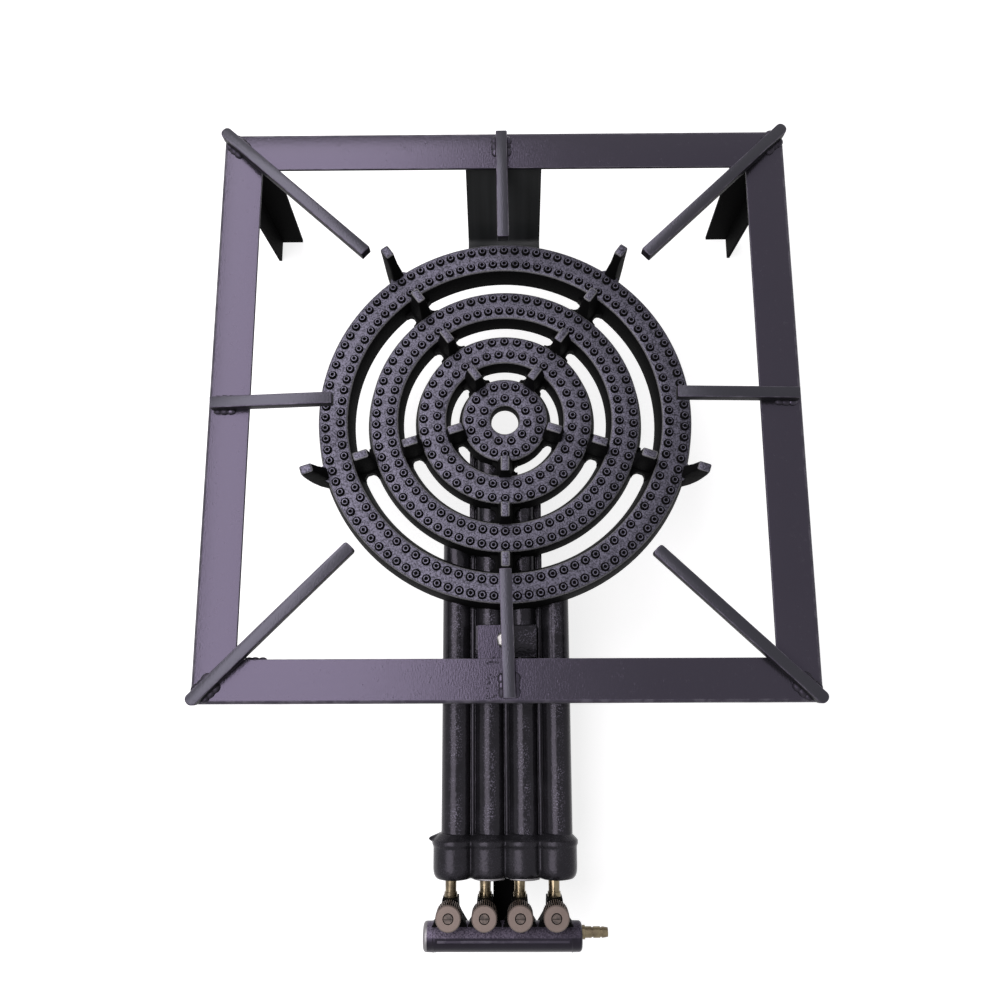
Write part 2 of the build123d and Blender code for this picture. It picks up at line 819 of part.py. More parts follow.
# Bolts and washers that hold the burner to its hangers
front_seat = tab_underside + plate_wall + washer_thickness
rear_seat = ring_floor - plate_wall - washer_thickness
with BuildPart() as burner_washers:
    post([(0, front_bolt_y)], washer_radius, front_seat - washer_thickness, front_seat)
    post(rear_bolts, washer_radius, rear_seat, rear_seat + washer_thickness)
    post([(0, front_bolt_y), *rear_bolts], bolt_hole_radius, rear_seat, front_seat, Mode.SUBTRACT)
save(burner_washers, "burner_washers")
with BuildPart() as burner_bolts:
    bolt_length = washer_thickness + plate_wall + bolt_depth - bolt_end_gap
    bolt_sizes = (bolt_head_flats, bolt_head_height, bolt_radius, bolt_length)
    make_bolt((0, front_bolt_y), front_seat, -1, *bolt_sizes)
    for point in rear_bolts:
        make_bolt(point, rear_seat, 1, *bolt_sizes)
save(burner_bolts, "burner_bolts")

# Manifold, its bracket and its ends
with BuildPart() as manifold_pipe:
    with BuildSketch(Plane.YZ.offset(manifold_left)):
        with Locations((manifold_y, manifold_height)):
            Circle(manifold_radius)
            Circle(manifold_bore_radius, mode=Mode.SUBTRACT)
    extrude(amount=manifold_right - manifold_left)
    for x in tap_xs:
        tap_radius = inlet_radius + seat_clearance
        cross_post(x, manifold_height, tap_radius, manifold_y, manifold_y + manifold_radius, Mode.SUBTRACT)
save(manifold_pipe, "manifold_pipe")
make_cap("manifold_cap_left", manifold_left, -1, 0)
make_cap("manifold_cap_right", manifold_right, 1, barb_stem_radius + seat_clearance)

with BuildPart() as manifold_bracket:
    bracket_front = manifold_y - cradle_length / 2
    plate_bottom = pad_underside - plate_wall
    plate_size = (manifold_bracket_width, bell_back - bracket_front)
    block((0, (bracket_front + bell_back) / 2), plate_size, plate_bottom, pad_underside)
    cradle_size = (manifold_bracket_width, cradle_length)
    cradle_top = manifold_height - manifold_radius + cradle_bite
    block((0, manifold_y), cradle_size, pad_underside, cradle_top)
    with BuildSketch(Plane.YZ.offset(-manifold_bracket_width / 2)):
        with Locations((manifold_y, manifold_height)):
            Circle(manifold_radius + seat_clearance)
    extrude(amount=manifold_bracket_width, mode=Mode.SUBTRACT)
    post(pad_bolts, small_bolt_radius + bolt_hole_clearance, plate_bottom, pad_underside, Mode.SUBTRACT)
save(manifold_bracket, "manifold_bracket")
with BuildPart() as bracket_bolts:
    small_length = plate_wall + small_bolt_depth - bolt_end_gap
    small_sizes = (small_bolt_head_flats, small_bolt_head_height, small_bolt_radius, small_length)
    for point in pad_bolts:
        make_bolt(point, pad_underside - plate_wall, 1, *small_sizes)
save(bracket_bolts, "bracket_bolts")

with BuildPart() as hose_barb:
    flange_start = manifold_right + cap_length
    land_start = flange_start + barb_flange
    barb_profile = [
        (manifold_right, barb_y),
        (manifold_right, barb_y + barb_stem_radius),
        (flange_start, barb_y + barb_stem_radius),
        (flange_start, barb_y + barb_flange_radius),
        (land_start, barb_y + barb_flange_radius),
    ]
    for land in range(2):
        groove_start = land_start + barb_land
        barb_profile += [
            (land_start, barb_y + barb_radius),
            (groove_start, barb_y + barb_radius),
            (groove_start, barb_y + barb_groove_radius),
            (groove_start + barb_groove, barb_y + barb_groove_radius),
        ]
        land_start = groove_start + barb_groove
    barb_end = land_start + barb_tip_length
    barb_profile += [
        (land_start, barb_y + barb_radius),
        (barb_end, barb_y + barb_tip_radius),
        (barb_end, barb_y),
    ]
    turned(barb_profile, Plane.XY.offset(manifold_height), Axis((0, barb_y, manifold_height), (1, 0, 0)))
    with BuildSketch(Plane.YZ.offset(manifold_right)):
        with Locations((barb_y, manifold_height)):
            Circle(barb_bore_radius)
    extrude(amount=barb_end - manifold_right, mode=Mode.SUBTRACT)
save(hose_barb, "hose_barb")

# Valves, from left to right
for number, x in enumerate(tap_xs, start=1):
    make_valve_body(f"valve_body_{number}", x)
    make_injector(f"injector_{number}", x)
    make_spindle(f"spindle_{number}", x)
    make_knob(f"knob_{number}", x)
    make_knob_screw(f"knob_screw_{number}", x)
tap_places = [(x, valve_y) for x in tap_xs]
with BuildPart() as gland_nuts:
    for x in tap_xs:
        make_gland_nut(x)
    post(tap_places, spindle_bore_radius, packing_top, gland_top, Mode.SUBTRACT)
save(gland_nuts, "gland_nuts")
with BuildPart() as gland_packings:
    post(tap_places, packing_radius, packing_floor, packing_top)
    post(tap_places, spindle_bore_radius, packing_floor, packing_top, Mode.SUBTRACT)
save(gland_packings, "gland_packings")
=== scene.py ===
"""Looks of a four-ring gas stove: a dished cast burner hung in an angle-iron stand, with four taps.

Shapes are drawn in millimetres about the middle of the stand and moved onto the solids when finished.
"""

import random
from collections import namedtuple
from math import atan2, cos, pi, radians, sin, sqrt

import bmesh
import bpy
from mathutils import Matrix, Vector


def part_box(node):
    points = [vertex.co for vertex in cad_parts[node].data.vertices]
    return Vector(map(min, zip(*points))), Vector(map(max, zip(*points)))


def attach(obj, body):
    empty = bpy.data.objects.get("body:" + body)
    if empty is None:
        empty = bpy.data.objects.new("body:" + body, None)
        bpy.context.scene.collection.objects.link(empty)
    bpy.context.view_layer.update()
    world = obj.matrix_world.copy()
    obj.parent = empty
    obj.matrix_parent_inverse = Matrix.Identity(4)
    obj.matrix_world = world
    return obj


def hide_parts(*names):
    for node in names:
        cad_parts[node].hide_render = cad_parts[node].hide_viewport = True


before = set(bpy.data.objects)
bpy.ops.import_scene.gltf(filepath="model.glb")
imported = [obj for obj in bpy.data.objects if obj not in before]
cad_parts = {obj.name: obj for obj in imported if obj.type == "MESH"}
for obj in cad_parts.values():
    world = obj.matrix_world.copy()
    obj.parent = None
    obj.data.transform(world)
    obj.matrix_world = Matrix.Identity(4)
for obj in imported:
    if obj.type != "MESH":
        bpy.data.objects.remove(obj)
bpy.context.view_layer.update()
random.seed(7)

Ring = namedtuple("Ring", "name inner outer drop hole_flare rise rows")
Row = namedtuple("Row", "radius count start")
Bar = namedtuple("Bar", "name angle inner outer nose tip swing slip")

# The middle of the stand, taken from the solids
to_metres = 0.001
stand_y = (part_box("rail_front")[0].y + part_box("rail_back")[1].y) / 2 / to_metres

# The stand, its pot bars and its plates
half_side = 250
frame_top = 190
rail_width = 35
rail_wall = 3
bar_half = 5
bar_height = 10
plate_wall = 3
plate_bend = 4

# The burner
deck_height = 140
ring_floor = 116
lug_floor = 119.5
wall_flare = 4.2
pad_top = 124
horn_top = 172.8
horn_half_width = 4
jet_foot_radius = 4.3
jet_top_radius = 2.5
jet_depth = 2.8

# The mixing tubes, the manifold and the taps
tube_height = 106.5
tube_radius = 12.5
tube_bore = 9
tube_xs = (-43.5, -14.5, 14.5, 43.5)
tap_xs = tuple(x - 4 for x in tube_xs)
bell_front = -397
bell_back = -368
valve_y = -419
manifold_y = -441
pipe_radius = 12
pipe_left = -61
pipe_right = 53

# Ways that the first jet of a row faces
front = -1
back = 1
rings = (
    Ring("outer", 141.3, 167.0, 0.0, wall_flare, 23.3, (Row(147.3, 90, front), Row(160.8, 100, front))),
    Ring("second", 96.7, 121.5, 5.5, wall_flare, 17.2, (Row(103.4, 65, front), Row(116.0, 70, front))),
    Ring("third", 53.4, 78.2, 6.5, wall_flare, 12.6, (Row(61.1, 35, front), Row(73.4, 40, front))),
    Ring("centre", 13.2, 38.3, 10.5, 1.0, 0.0, (Row(20.5, 11, back), Row(32.1, 20, front))),
)
corner_reach = half_side * sqrt(2) - 1.5
bars = (
    Bar("right", 0, 144, 246, 0, 0, -0.9, 1.8),
    Bar("back", 90, 144, 246, 0, 0, 0.7, 1.8),
    Bar("left", 180, 144, 246, 0, 0, 2.1, 3.8),
    Bar("front", 270, 144, 246, 0, 0, 1.6, 2.5),
    Bar("back_right", 45, 177, corner_reach, 4.5, 0, -1.4, 0),
    Bar("back_left", 135, 177, corner_reach, 4.5, 0, 2.9, 0),
    Bar("front_left", 225, 177, corner_reach, 4.5, 2.5, 0, 0),
    Bar("front_right", 315, 177, corner_reach, 4.5, 2.5, 1.6, 0),
)
spoke_angles = (270, 342, 54, 126, 198)
ring_of_tube = (1, 3, 2, 0)


class Value:
    """A shader socket that Python sums can use."""

    def __init__(self, nodes, socket):
        self.nodes = nodes
        self.socket = socket

    def join(self, operation, first, second):
        return self.nodes.node("Math", {"operation": operation}, {0: first, 1: second})

    def __add__(self, other):
        return self.join("ADD", self, other)

    def __radd__(self, other):
        return self.join("ADD", other, self)

    def __sub__(self, other):
        return self.join("SUBTRACT", self, other)

    def __rsub__(self, other):
        return self.join("SUBTRACT", other, self)

    def __mul__(self, other):
        return self.join("MULTIPLY", self, other)

    def __rmul__(self, other):
        return self.join("MULTIPLY", other, self)


class Nodes:
    """A node tree that is filled through one method."""

    def __init__(self, tree):
        self.tree = tree

    def feed(self, socket, value):
        if isinstance(value, Value):
            self.tree.links.new(value.socket, socket)
        else:
            socket.default_value = value

    def node(self, kind, settings=(), sockets=(), output=0):
        made = self.tree.nodes.new("ShaderNode" + kind)
        for name, value in dict(settings).items():
            setattr(made, name, value)
        for name, value in dict(sockets).items():
            self.feed(made.inputs[name], value)
        return Value(self, made.outputs[output])


class Finish(Nodes):
    """A surface finish, drawn on the object's own coordinates in metres."""

    def __init__(self, name, **constants):
        self.material = bpy.data.materials.new(name)
        self.material.use_nodes = True
        super().__init__(self.material.node_tree)
        self.shader = self.tree.nodes["Principled BSDF"]
        self.place = self.node("TexCoord", output="Object")
        for socket, value in constants.items():
            self.shader.inputs[socket.replace("_", " ")].default_value = value

    def noise(self, scale, detail=3.0, stretch=(1, 1, 1)):
        place = self.node("Mapping", (), {"Vector": self.place, "Scale": stretch})
        return self.node("TexNoise", (), {"Vector": place, "Scale": scale, "Detail": detail})

    def cells(self, scale):
        return self.node("TexVoronoi", (), {"Vector": self.place, "Scale": scale})

    def band(self, value, low, high):
        return self.node("MapRange", (), {0: value, 1: low, 2: high})

    def mix(self, factor, first, second):
        return self.node("Mix", {"data_type": "RGBA"}, {0: factor, 6: first, 7: second}, 2)

    def coat(self, colour, roughness, height, strength, depth, metallic=None):
        self.feed(self.shader.inputs["Base Color"], colour)
        self.feed(self.shader.inputs["Roughness"], roughness)
        if metallic is not None:
            self.feed(self.shader.inputs["Metallic"], metallic)
        relief = self.node("Bump", (), {"Height": height, "Strength": strength, "Distance": depth})
        self.feed(self.shader.inputs["Normal"], relief)
        return self.material


def tint(red, green, blue):
    return (red, green, blue, 1)


paint_sheen = tint(0.8, 0.69, 1.0)
bar_sheen = tint(0.74, 0.72, 0.89)


def frame_paint(name, sheen, roughness):
    """Satin purple-grey paint with clouding, dust and a fine orange peel."""
    finish = Finish(name, Specular_IOR_Level=0.56, Specular_Tint=sheen)
    cloud = finish.noise(7, 5)
    streak = finish.noise(45, 3, (1, 0.15, 1))
    dust = finish.band(finish.noise(260, 4), 0.62, 0.8)
    peel = finish.noise(900, 2, (1, 0.35, 1))
    ground = finish.mix(cloud, tint(0.008, 0.0078, 0.0088), tint(0.015, 0.0146, 0.0166))
    streaked = finish.mix(streak * 0.35, ground, tint(0.006, 0.0059, 0.0066))
    colour = finish.mix(dust * 0.1, streaked, tint(0.08, 0.077, 0.087))
    return finish.coat(colour, roughness + 0.1 * cloud + 0.1 * dust, peel + 0.4 * dust, 0.26, 0.0005)


def worn_paint():
    """The same paint rubbed thin along edges."""
    finish = Finish("frame_paint_edges", Specular_IOR_Level=0.5, Specular_Tint=paint_sheen)
    rub = finish.band(finish.noise(90, 5), 0.45, 0.62)
    grit = finish.noise(900, 3)
    colour = finish.mix(rub, tint(0.015, 0.014, 0.017), tint(0.055, 0.052, 0.061))
    return finish.coat(colour, 0.4 - 0.08 * rub + 0.08 * grit, grit, 0.15, 0.0004)


def shaded_side_paint():
    """A dull, barely reflecting copy of the frame paint for the upright faces of the stand and its bars:
    painted shade, as these faces carry the same paint as the tops.
    """
    finish = Finish("frame_paint_painted_shade_sides", Specular_IOR_Level=0.1, Specular_Tint=paint_sheen)
    cloud = finish.noise(12, 4)
    peel = finish.noise(1000, 2)
    colour = finish.mix(cloud, tint(0.008, 0.0078, 0.0088), tint(0.016, 0.0155, 0.018))
    return finish.coat(colour, 0.45 + 0.15 * cloud, peel, 0.15, 0.0004)


def scorched_weld():
    """Weld metal burnt black under what paint it took."""
    finish = Finish("weld_scorch", Specular_IOR_Level=0.3, Specular_Tint=paint_sheen)
    burn = finish.noise(120, 4)
    grit = finish.noise(700, 3)
    bare = finish.band(burn, 0.4, 0.65)
    colour = finish.mix(bare, tint(0.004, 0.004, 0.0045), tint(0.03, 0.028, 0.034))
    return finish.coat(colour, 0.35 + 0.2 * burn, grit, 0.3, 0.0005)


def cast_deck():
    """Sand-cast iron rubbed to a purple-grey sheen: grains stand bright out of dark pits."""
    finish = Finish("cast_deck")
    grain = finish.noise(760, 4)
    pits = finish.band(finish.cells(600), 0.15, 0.6)
    stain = finish.noise(16, 4)
    bright = finish.band(grain, 0.38, 0.6)
    ground = finish.mix(bright, tint(0.02, 0.0195, 0.025), tint(0.091, 0.086, 0.115))
    colour = finish.mix(finish.band(stain, 0.4, 0.75) * 0.3, ground, tint(0.042, 0.04, 0.051))
    relief = grain * 0.7 + pits * 0.3
    return finish.coat(colour, 0.4 + 0.16 * grain, relief, 0.26, 0.0006, 0.85 + 0.1 * grain)


def cast_edge():
    """The rounded arrises of the casting, rubbed lighter."""
    finish = Finish("cast_edges", Specular_IOR_Level=0.5)
    grain = finish.noise(620, 4)
    rub = finish.band(finish.noise(70, 4), 0.35, 0.65)
    ground = finish.mix(finish.band(grain, 0.35, 0.7), tint(0.05, 0.049, 0.052), tint(0.16, 0.158, 0.165))
    colour = finish.mix(rub * 0.6, ground, tint(0.085, 0.082, 0.092))
    return finish.coat(colour, 0.45 + 0.2 * grain, grain, 0.4, 0.0006)


def cast_wall():
    """Near-black, almost unreflecting finish with faint grain and blotches, on the upright sides of the
    casting.
    """
    finish = Finish("cast_walls", Specular_IOR_Level=0.03)
    grain = finish.noise(480, 4)
    blotches = finish.noise(22, 4)
    colour = finish.mix(blotches, tint(0.0015, 0.0015, 0.0015), tint(0.005, 0.005, 0.0053))
    return finish.coat(colour, 0.55 + 0.2 * blotches, grain, 0.45, 0.0007)


def jet_hole():
    """Near-black for the drilled jets' holes and sloping sides, partly soot and partly painted shade; the
    knobs' screw recesses and knurl grooves take it as painted shade.
    """
    finish = Finish("jet_holes", Specular_IOR_Level=0.03)
    blotches = finish.noise(300, 2)
    colour = finish.mix(blotches, tint(0.002, 0.002, 0.002), tint(0.006, 0.006, 0.006))
    return finish.coat(colour, 0.8 + 0.1 * blotches, blotches, 0.2, 0.0003)


def glossy_casting(name, rubbed, roughness):
    """Gloss black paint over rough cast iron, with pale grains along the tubes' crests: partly paint
    rubbed through, partly painted highlight sparkle where the lamp's reflection lies.
    """
    finish = Finish(name, Specular_IOR_Level=0.21, Specular_Tint=tint(0.9, 0.84, 1.0))
    grain = finish.noise(420, 3)
    lumps = finish.noise(60, 3)
    height = finish.node("SeparateXYZ", (), {0: finish.place}, 2)
    crest = finish.band(height, to_metres * (tube_height + 10.8), to_metres * (tube_height + 12.4))
    grains = finish.band(finish.noise(820, 3), 0.53, 0.63)
    # Pale grains massed on the crests: partly wear, partly painted highlight sparkle.
    rub = grains * (0.1 + 0.9 * crest) * finish.band(lumps, 0.36, 0.6)
    ground = finish.mix(lumps, tint(0.005, 0.005, 0.0055), tint(0.015, 0.0145, 0.017))
    colour = finish.mix(rub * rubbed, ground, tint(0.18, 0.166, 0.215))
    relief = grain * 0.7 + lumps * 0.3
    return finish.coat(colour, roughness + 0.1 * lumps + 0.2 * rub, relief, 0.36, 0.0008)


def pipe_paint():
    """Purple-black gloss on the manifold, with a speckled purple band along its top and back that fades
    towards the right: a painted highlight where the lamp's reflection falls.
    """
    finish = Finish("pipe_paint", Specular_IOR_Level=0.24, Specular_Tint=paint_sheen)
    grit = finish.noise(850, 3)
    lumps = finish.noise(70, 3)
    along = finish.node("SeparateXYZ", (), {0: finish.place})
    depth = finish.node("SeparateXYZ", (), {0: finish.place}, 1)
    # A speckled pale band behind this line, fading to the right: painted highlight.
    edge = to_metres * (manifold_y + stand_y) + 0.002 * lumps
    highlight_band = finish.band(depth - edge, -0.0002, 0.001)
    highlight_fade = 1.0 - 0.55 * finish.band(along, -0.01, 0.045)
    ground = finish.mix(lumps, tint(0.004, 0.0038, 0.0046), tint(0.012, 0.011, 0.014))
    highlight_specks = finish.band(grit, 0.35, 0.65)
    painted_highlight = finish.mix(highlight_specks, tint(0.03, 0.026, 0.037), tint(0.15, 0.13, 0.175))
    colour = finish.mix(highlight_band * highlight_fade, ground, painted_highlight)
    return finish.coat(colour, 0.26 + 0.14 * lumps, grit * 0.7 + lumps * 0.3, 0.22, 0.0006)


def hanger_paint():
    """Black paint on the wide back plate, streaked downwards where it ran."""
    finish = Finish("hanger_paint", Specular_IOR_Level=0.2)
    runs = finish.noise(60, 3, (1, 0.06, 0.06))
    peel = finish.noise(800, 3)
    streaks = finish.band(runs, 0.35, 0.7)
    colour = finish.mix(streaks, tint(0.006, 0.0066, 0.0066), tint(0.02, 0.0212, 0.0222))
    return finish.coat(colour, 0.38 + 0.15 * runs, peel, 0.12, 0.0004)


def black_paint_and_shade():
    """Near-black, almost unreflecting paint. On the legs it is painted shade, as they stand out of the
    light under the stand; the valve bodies and the manifold's strap take it as well.
    """
    finish = Finish("black_paint_and_shade", Specular_IOR_Level=0.02)
    cloud = finish.noise(14, 4)
    peel = finish.noise(700, 3)
    colour = finish.mix(cloud, tint(0.0012, 0.0012, 0.0012), tint(0.003, 0.003, 0.0031))
    return finish.coat(colour, 0.6 + 0.15 * cloud, peel, 0.12, 0.0004)


def brass():
    """Turned brass gone dull, with darker tarnish."""
    finish = Finish("brass")
    tarnish = finish.band(finish.noise(130, 5), 0.4, 0.7)
    turning = finish.noise(900, 2, (0.2, 1, 1))
    colour = finish.mix(tarnish, tint(0.2, 0.164, 0.105), tint(0.095, 0.073, 0.047))
    return finish.coat(colour, 0.17 + 0.2 * tarnish, turning, 0.15, 0.0003, 1.0 - 0.25 * tarnish)


def knob_face():
    """Satin pinkish plating on the knobs, with faint lathe marks."""
    finish = Finish("knob_plating")
    cloud = finish.noise(150, 4)
    grit = finish.noise(1500, 3)
    colour = finish.mix(cloud, tint(0.1, 0.076, 0.067), tint(0.157, 0.122, 0.108))
    return finish.coat(colour, 0.42 + 0.14 * cloud, grit, 0.2, 0.0002, 0.55 + 0.2 * grit)


def knob_grip():
    """Browned brass of the knurled grip; the faces in its grooves take the near-black painted shade."""
    finish = Finish("knob_grip")
    tarnish = finish.band(finish.noise(260, 4), 0.35, 0.65)
    grit = finish.noise(1300, 2)
    colour = finish.mix(tarnish, tint(0.27, 0.2, 0.165), tint(0.1, 0.075, 0.062))
    return finish.coat(colour, 0.42 + 0.16 * tarnish, grit, 0.2, 0.0002, 0.7 - 0.3 * tarnish)


def dull_screw():
    """Browned slotted screw in each knob."""
    finish = Finish("knob_screw_metal")
    tarnish = finish.noise(320, 4)
    grit = finish.noise(1400, 2)
    browned = finish.band(tarnish, 0.35, 0.65)
    colour = finish.mix(browned, tint(0.1, 0.078, 0.068), tint(0.04, 0.032, 0.029))
    return finish.coat(colour, 0.4 + 0.2 * tarnish, grit, 0.2, 0.0002, 0.7 - 0.2 * tarnish)


def zinc_steel():
    """Zinc-plated steel of bolts and screws, a little dulled."""
    finish = Finish("zinc_steel")
    dull = finish.noise(210, 4)
    grit = finish.noise(1200, 2)
    colour = finish.mix(finish.band(dull, 0.35, 0.7), tint(0.5, 0.49, 0.48), tint(0.26, 0.245, 0.235))
    return finish.coat(colour, 0.3 + 0.25 * dull, grit, 0.12, 0.0002, 0.95 - 0.2 * dull)


def bare_end():
    """Sawn steel face that the paint has missed."""
    finish = Finish("bare_steel")
    saw = finish.noise(500, 3, (1, 1, 0.2))
    cloud = finish.noise(90, 3)
    colour = finish.mix(cloud, tint(0.25, 0.24, 0.25), tint(0.17, 0.165, 0.17))
    return finish.coat(colour, 0.4 + 0.2 * saw, saw, 0.2, 0.0003, 0.8 + 0.1 * cloud)


def packing_yarn():
    """Pale greased packing."""
    finish = Finish("gland_packing")
    yarn = finish.noise(700, 3)
    colour = finish.mix(yarn, tint(0.7, 0.69, 0.66), tint(0.5, 0.49, 0.46))
    return finish.coat(colour, 0.6 + 0.2 * yarn, yarn, 0.3, 0.0003)


paint = frame_paint("frame_paint", paint_sheen, 0.17)
bar_paint = frame_paint("bar_paint", bar_sheen, 0.25)
paint_edge = worn_paint()
painted_shade_sides = shaded_side_paint()
weld_scorch = scorched_weld()
deck_iron = cast_deck()
edge_iron = cast_edge()
wall_iron = cast_wall()
soot_and_painted_shade = jet_hole()
tube_paint = glossy_casting("tube_paint", 0.65, 0.11)
bell_paint = glossy_casting("bell_paint", 0.06, 0.21)
manifold_paint = pipe_paint()
plate_paint = hanger_paint()
black_and_painted_shade = black_paint_and_shade()
brass_metal = brass()
knob_metal = knob_face()
grip_metal = knob_grip()
screw_metal = dull_screw()
steel = zinc_steel()
bare_steel = bare_end()
packing = packing_yarn()


def finish_piece(bm, name, materials, nodes, body="stove", smooth=32):
    """Move a finished bmesh onto the solids and make it a piece that rides on a body."""
    bmesh.ops.remove_doubles(bm, verts=bm.verts, dist=0.001)
    bmesh.ops.recalc_face_normals(bm, faces=bm.faces)
    bm.transform(Matrix.Scale(to_metres, 4) @ Matrix.Translation((0, stand_y, 0)))
    mesh = bpy.data.meshes.new(name)
    bm.to_mesh(mesh)
    bm.free()
    for material in materials:
        mesh.materials.append(material)
    mesh.shade_smooth()
    mesh.set_sharp_from_angle(angle=radians(smooth))
    piece = bpy.data.objects.new(name, mesh)
    bpy.context.scene.collection.objects.link(piece)
    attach(piece, body)
    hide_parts(*nodes)
    return piece


def dress(node, material):
    """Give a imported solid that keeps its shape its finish."""
    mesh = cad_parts[node].data
    mesh.materials.clear()
    mesh.materials.append(material)


def corners(bm, least=25):
    """Edges where two faces meet at more than an angle."""
    bmesh.ops.recalc_face_normals(bm, faces=bm.faces)
    return [e for e in bm.edges if len(e.link_faces) == 2 and e.calc_face_angle() > radians(least)]


def soften(bm, edges, width, segments=2, finish=None):
    """Round edges off, and give the new faces a finish of their own."""
    made = bmesh.ops.bevel(bm, geom=list(edges), offset=width, offset_type="OFFSET", segments=segments,
                           profile=0.5, affect="EDGES", material=-1, clamp_overlap=True)
    if finish is not None:
        for face in made["faces"]:
            face.material_index = finish


def spun(bm, profile, centre, axis, steps, closed=False):
    """Turn a run of points about an axis."""
    points = [bm.verts.new(point) for point in profile]
    ends = points[1:] + points[:1] if closed else points[1:]
    edges = [bm.edges.new(pair) for pair in zip(points, ends)]
    bmesh.ops.spin(bm, geom=points + edges, cent=centre, axis=axis, angle=2 * pi, steps=steps,
                   use_merge=True)
    bmesh.ops.remove_doubles(bm, verts=bm.verts, dist=0.001)


def box(bm, low, high):
    """A block between two corners."""
    size = [b - a for a, b in zip(low, high)]
    middle = [(a + b) / 2 for a, b in zip(low, high)]
    place = Matrix.Translation(middle) @ Matrix.Diagonal((*size, 1))
    return bmesh.ops.create_cube(bm, size=1, matrix=place)["verts"]


def raise_face(bm, face, height, grow_x, grow_y, first=False):
    """Lift a face into a new storey and scale its top. The first storey keeps its floor."""
    made = bmesh.ops.extrude_face_region(bm, geom=[face])
    if not first:
        bmesh.ops.delete(bm, geom=[face], context="FACES_ONLY")
    top = [part for part in made["geom"] if isinstance(part, bmesh.types.BMFace)][0]
    bmesh.ops.translate(bm, vec=(0, 0, height), verts=top.verts)
    pivot = Matrix.Translation(-top.calc_center_median())
    bmesh.ops.scale(bm, vec=(grow_x, grow_y, 1), space=pivot, verts=top.verts)
    return top


def turn(bm, verts, angle):
    """Swing points about the stand's upright middle line."""
    bmesh.ops.rotate(bm, cent=(0, 0, 0), matrix=Matrix.Rotation(radians(angle), 3, "Z"), verts=verts)


def shade_sides(bm, finish):
    """Give the upright faces of a piece of the stand the duller copy of the paint: painted shade."""
    bmesh.ops.recalc_face_normals(bm, faces=bm.faces)
    for face in bm.faces:
        if abs(face.normal.z) < 0.35:
            face.material_index = finish


def on_shoulder(edge, room):
    """Whether an edge runs along the outer top corner of a rail."""
    return all(vert.co.x > half_side - room and vert.co.z > frame_top - room for vert in edge.verts)


def make_rail(name, angle):
    """One mitred side of the stand."""
    bm = bmesh.new()
    inner, inside = half_side - rail_width, half_side - rail_wall
    foot, under = frame_top - rail_width, frame_top - rail_wall
    section = (
        (inner, frame_top), (half_side, frame_top), (half_side, foot),
        (inside, foot), (inside, under), (inner, under),
    )
    end = bm.faces.new([bm.verts.new((reach, -reach, height)) for reach, height in section])
    made = bmesh.ops.extrude_face_region(bm, geom=[end])
    far = [part for part in made["geom"] if isinstance(part, bmesh.types.BMVert)]
    bmesh.ops.scale(bm, vec=(1, -1, 1), verts=far)
    long_edges = [e for e in corners(bm) if abs(e.verts[0].co.y - e.verts[1].co.y) > 100]
    soften(bm, [e for e in long_edges if not on_shoulder(e, 1)], 0.6, 2, 1)
    soften(bm, [e for e in corners(bm, 60) if on_shoulder(e, 0.1)], 3, 5, 1)
    turn(bm, bm.verts, angle)
    shade_sides(bm, 2)
    materials = (paint, paint_edge, painted_shade_sides)
    finish_piece(bm, f"rail_{name}_angle", materials, [f"rail_{name}"])


def bar_place(bar):
    """Turn a bar's own x axis outwards, with the small swing and slip that its welder gave it."""
    pivot = bar.outer - bar_half
    swing = Matrix.Rotation(radians(bar.swing), 4, "Z") @ Matrix.Translation((-pivot, 0, 0))
    return Matrix.Rotation(radians(bar.angle), 4, "Z") @ Matrix.Translation((pivot, bar.slip, 0)) @ swing


def make_bar(bar):
    """One square pot bar, with a round nose on those that end at a corner."""
    bm = bmesh.new()
    box(bm, (bar.inner, -bar_half, frame_top), (bar.outer, bar_half, frame_top + bar_height))
    upright = [e for e in bm.edges if abs(e.verts[0].co.z - e.verts[1].co.z) > 5]
    if bar.nose:
        soften(bm, [e for e in upright if e.verts[0].co.x > bar.outer - 1], bar.nose, 5)
    if bar.tip:
        soften(bm, [e for e in upright if e.is_valid and e.verts[0].co.x < bar.inner + 1], bar.tip, 4)
    soften(bm, corners(bm, 30), 0.9, 2, 1)
    bm.transform(bar_place(bar))
    shade_sides(bm, 2)
    materials = (bar_paint, paint_edge, painted_shade_sides)
    finish_piece(bm, f"pot_bar_{bar.name}_square", materials, [f"pot_bar_{bar.name}"])


def add_blob(bm, place, radius, stretch, finish):
    """One flattened blob of weld metal."""
    shape = place @ Matrix.Diagonal((*stretch, 1))
    made = bmesh.ops.create_icosphere(bm, subdivisions=2, radius=radius, matrix=shape)
    for face in {face for vert in made["verts"] for face in vert.link_faces}:
        face.material_index = finish


def make_welds():
    """Weld lumps beside the pot bars' outer ends, spatter by the front one and a lump on the rail."""
    bm = bmesh.new()
    painted, burnt = 0, 1
    rail_edge = rail_width - half_side
    for bar in bars:
        place = bar_place(bar)
        reach = bar.outer - 16 if bar.nose else bar.outer - 10
        for side in (-1, 1):
            for step in (-5.5, 0, 5.5):
                radius = random.uniform(2.9, 4.0)
                off = side * (bar_half + 0.25 * radius)
                spot = Matrix.Translation((reach + step, off, frame_top + 0.2))
                finish = burnt if bar.nose or random.random() < 0.3 else painted
                add_blob(bm, place @ spot, radius, (1.25, 0.9, 0.75), finish)
    for _ in range(30):
        spot = Matrix.Translation((random.uniform(-16, -6.5), random.uniform(-246, -214), frame_top))
        add_blob(bm, spot, random.uniform(0.4, 1.0), (1, 1, 0.6), burnt)
    for x in (-205, -200, -194):
        spot = Matrix.Translation((x, rail_edge - 0.2, frame_top - 2))
        add_blob(bm, spot, random.uniform(2.4, 3.4), (1.4, 0.8, 0.8), burnt)
    finish_piece(bm, "weld_beads", (paint, weld_scorch), [], smooth=60)


